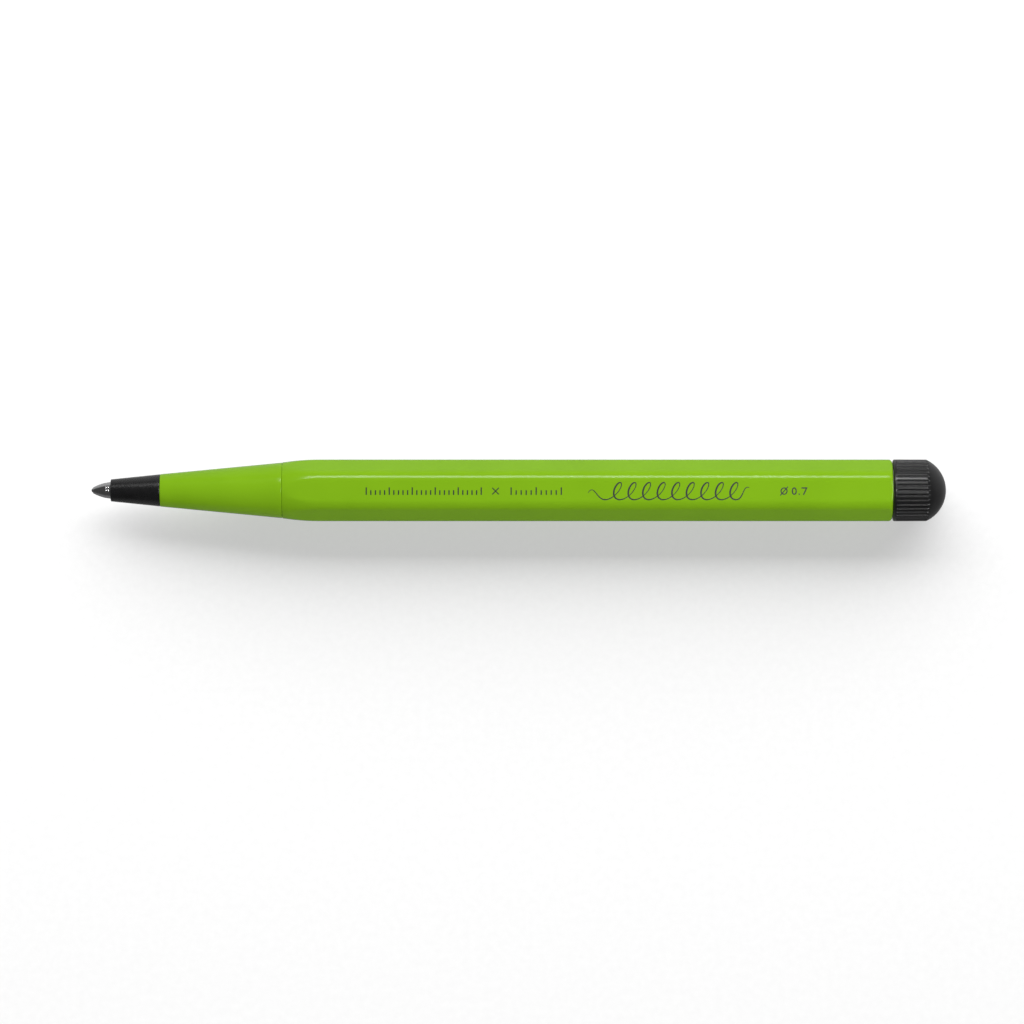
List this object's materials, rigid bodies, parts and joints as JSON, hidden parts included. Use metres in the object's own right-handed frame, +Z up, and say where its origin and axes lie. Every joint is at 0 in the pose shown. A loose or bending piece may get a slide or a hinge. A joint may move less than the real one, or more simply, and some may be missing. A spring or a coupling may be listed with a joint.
{
  "type": "gel pen",
  "caption": "Twist-action gel pen with a slim hexagonal barrel, tapered front cone, black nose and fluted domed end knob, steel writing point extended.",
  "frame": {"origin": "under the middle of the pen's length, at the level of the lowest point of the knob, with the writing point extended", "axes": "+X from the writing point towards the knob, +Z up out of one flat of the barrel, +Y to the pen's left looking along +X; two of the barrel's rounded edges lie at +Y and -Y"},
  "size_m": [0.135, 0.0098, 0.0098],
  "materials": {
    "green_lacquer": "gloss",
    "black_nose": "satin",
    "black_knob": "satin",
    "tip_steel": "polished",
    "ball_carbide": "polished",
    "spring_steel": "polished",
    "holder_plastic": "satin",
    "clear_tube": "gloss",
    "black_ink": "gloss",
    "clear_grease": "gloss",
    "plug_plastic": "satin",
    "sleeve_brass": "satin",
    "rotor_plastic": "satin",
    "pin_steel": "polished",
    "ring_rubber": "matte",
    "washer_nylon": "satin"
  },
  "bodies": {
    "barrel": {"barrel": "green_lacquer", "mechanism_sleeve": "sleeve_brass", "thrust_washer": "washer_nylon", "return_spring": "spring_steel"},
    "knob": {"twist_knob": "black_knob", "cam_rotor": "rotor_plastic", "rotor_friction_ring": "ring_rubber", "retaining_clip": "spring_steel"},
    "plunger": {"plunger": "sleeve_brass", "cross_pin": "pin_steel"},
    "refill": {"writing_tip": "tip_steel", "ball_seal_spring": "spring_steel", "tip_holder": "holder_plastic", "ink_tube": "clear_tube", "gel_ink": "black_ink", "ink_follower": "clear_grease", "refill_end_plug": "plug_plastic"},
    "ball": {"writing_ball": "ball_carbide"},
    "seal_ring": {"cone_seal_ring": "ring_rubber"},
    "cone": {"front_cone": "green_lacquer", "nose_piece": "black_nose"}
  },
  "joints": [
    {"name": "knob_twist", "type": "hinge", "parent": "barrel", "child": "knob", "pos_m": [0.06, 0, 0.00489], "axis": [1, 0, 0], "range_deg": [0, 180]},
    {"name": "plunger_slide", "type": "slide", "parent": "barrel", "child": "plunger", "axis": [1, 0, 0], "range_m": [0, 0.0045]},
    {"name": "refill_slide", "type": "slide", "parent": "barrel", "child": "refill", "axis": [1, 0, 0], "range_m": [0, 0.0045], "deforming": ["return_spring"]},
    {"name": "ball_roll", "type": "hinge", "parent": "refill", "child": "ball", "pos_m": [-0.06715, 0, 0.00489], "axis": [0, 1, 0], "continuous": true},
    {"name": "cone_advance", "type": "slide", "parent": "barrel", "child": "seal_ring", "axis": [-1, 0, 0], "range_m": [0, 0.0065]},
    {"name": "cone_unscrew", "type": "hinge", "parent": "seal_ring", "child": "cone", "pos_m": [-0.0373, 0, 0.00489], "axis": [-1, 0, 0], "range_deg": [0, 2340]}
  ],
  "couplings": [
    {"joint": "knob_twist", "follows": "plunger_slide", "rad_per_m": 698.13},
    {"joint": "refill_slide", "follows": "plunger_slide", "ratio": 1},
    {"joint": "cone_unscrew", "follows": "cone_advance", "rad_per_m": 6283.2}
  ]
}
